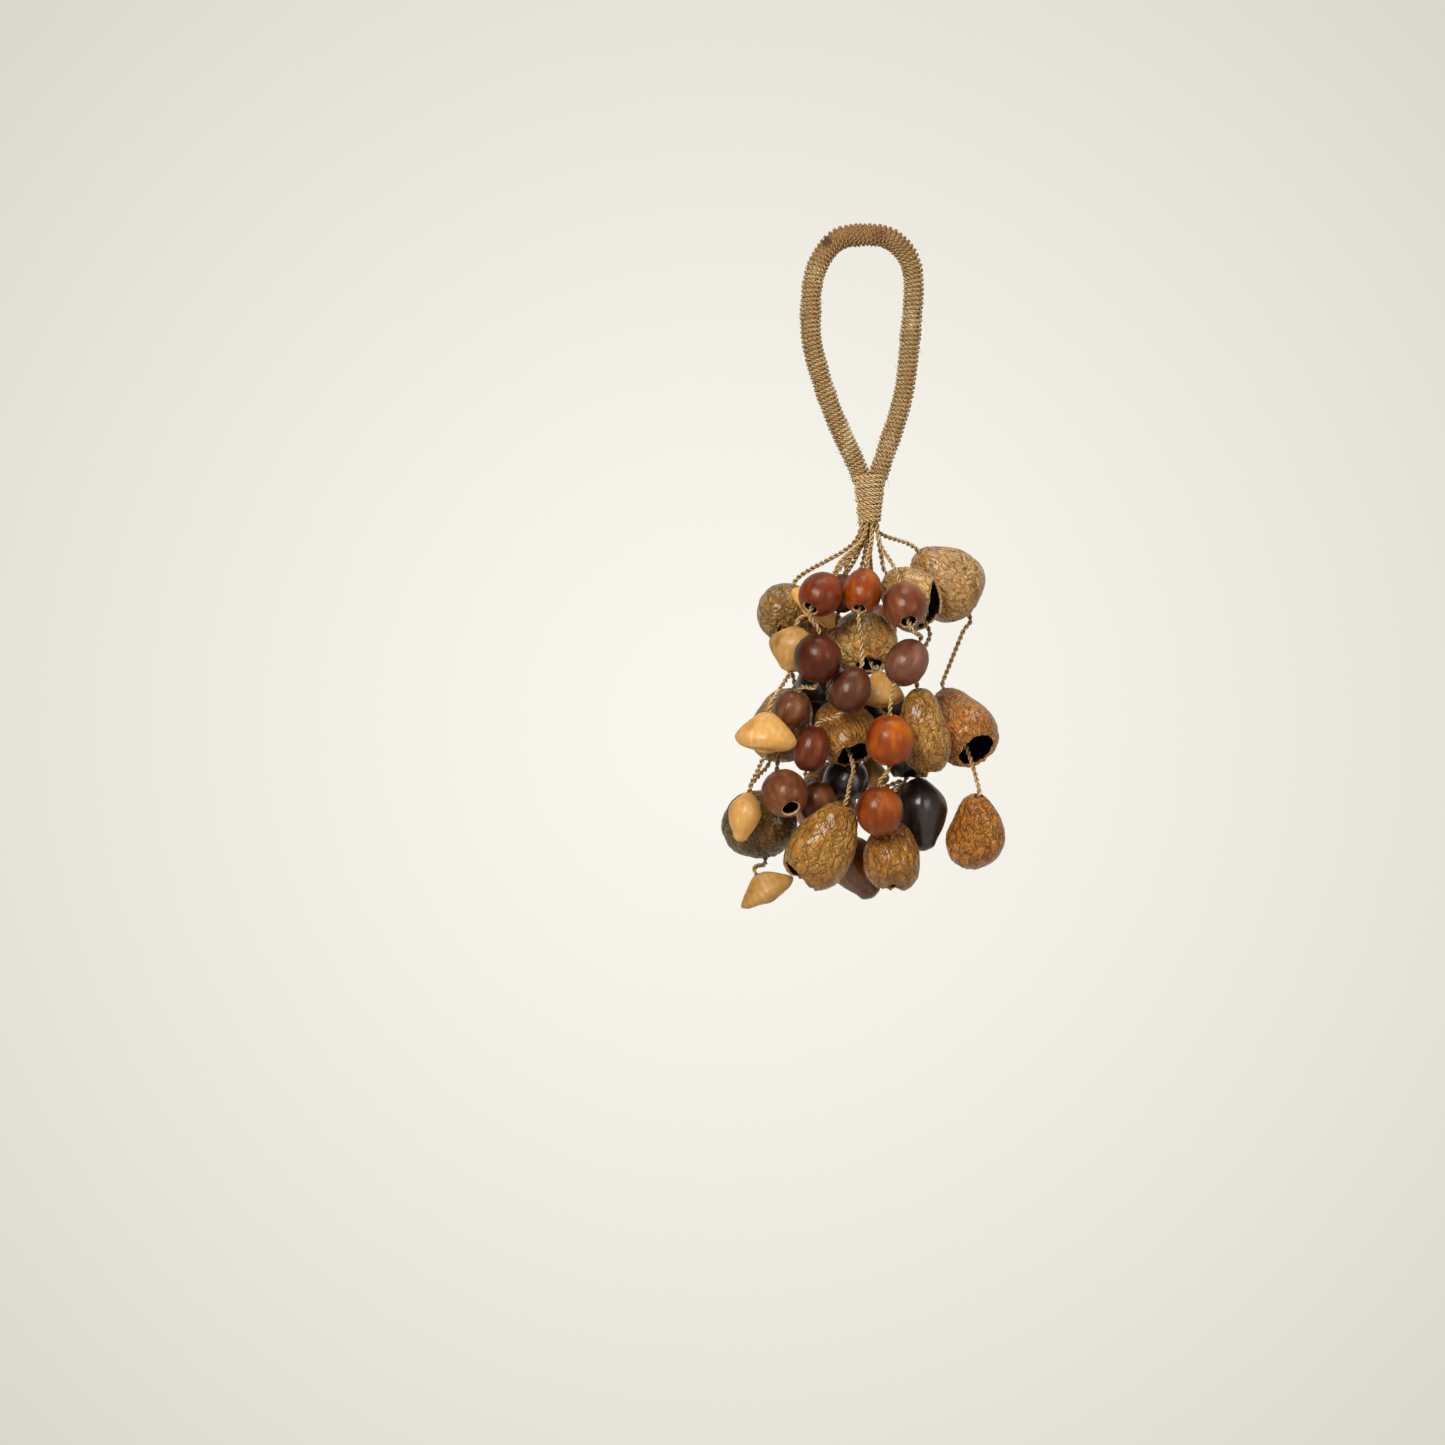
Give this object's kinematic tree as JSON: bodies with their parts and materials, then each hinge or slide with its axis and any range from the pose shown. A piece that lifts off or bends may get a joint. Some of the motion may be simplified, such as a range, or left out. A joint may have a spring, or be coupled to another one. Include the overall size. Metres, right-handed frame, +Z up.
{
  "type": "nutshell rattle",
  "caption": "Hand rattle of dried nutshells, seeds and nuts strung on twisted cords below a wrapped cord loop, shaken by hand or hung by the loop.",
  "frame": {"origin": "inner surface of the loop's crown, where a hand or a hook holds the rattle", "axes": "+Z up, +X to the right of someone who faces the rattle, -Y towards them"},
  "size_m": [0.1407, 0.1016, 0.3417],
  "materials": {
    "shell_brown": "semi-gloss wrinkled dried nutshell",
    "shell_olive": "semi-gloss wrinkled dried nutshell",
    "seed_mahogany": "glossy hard seed",
    "seed_orange": "glossy hard seed",
    "seed_purple": "satin hard seed",
    "nut_tan": "satin smooth nut",
    "husk_black": "glossy thin husk",
    "cord_straw": "two-ply twisted plant fibre",
    "wrap_khaki": "two-ply twisted plant fibre"
  },
  "bodies": {
    "root": {"shell_01": "shell_brown", "shell_02": "shell_brown", "shell_03": "shell_olive", "shell_04": "shell_brown", "shell_05": "shell_olive", "shell_06": "shell_brown", "shell_07": "shell_olive", "shell_08": "shell_brown", "shell_09": "shell_brown", "shell_10": "shell_brown", "shell_11": "shell_brown", "shell_12": "shell_olive", "shell_13": "shell_olive", "shell_14": "shell_brown", "shell_15": "shell_brown", "shell_16": "shell_olive", "seed_01": "seed_mahogany", "seed_02": "seed_orange", "seed_03": "seed_purple", "seed_04": "seed_purple", "seed_05": "seed_mahogany", "seed_06": "seed_purple", "seed_07": "seed_purple", "seed_08": "seed_purple", "seed_09": "seed_mahogany", "seed_10": "seed_purple", "seed_11": "seed_orange", "seed_12": "seed_orange", "seed_13": "seed_purple", "seed_14": "seed_mahogany", "seed_15": "seed_orange", "nut_01": "nut_tan", "nut_02": "nut_tan", "nut_03": "nut_tan", "nut_04": "nut_tan", "nut_05": "nut_tan", "nut_06": "nut_tan", "nut_07": "nut_tan", "husk_01": "husk_black", "husk_02": "husk_black", "husk_03": "husk_black", "husk_04": "husk_black", "husk_05": "husk_black", "cord_01": "cord_straw", "cord_02": "cord_straw", "cord_03": "cord_straw", "cord_04": "cord_straw", "cord_05": "cord_straw", "cord_06": "cord_straw", "cord_07": "cord_straw", "cord_08": "cord_straw", "cord_09": "cord_straw", "cord_10": "cord_straw", "cord_11": "cord_straw", "cord_12": "cord_straw", "loop_core": "cord_straw", "loop_wrap": "wrap_khaki", "neck_binding": "wrap_khaki"}
  },
  "joints": []
}
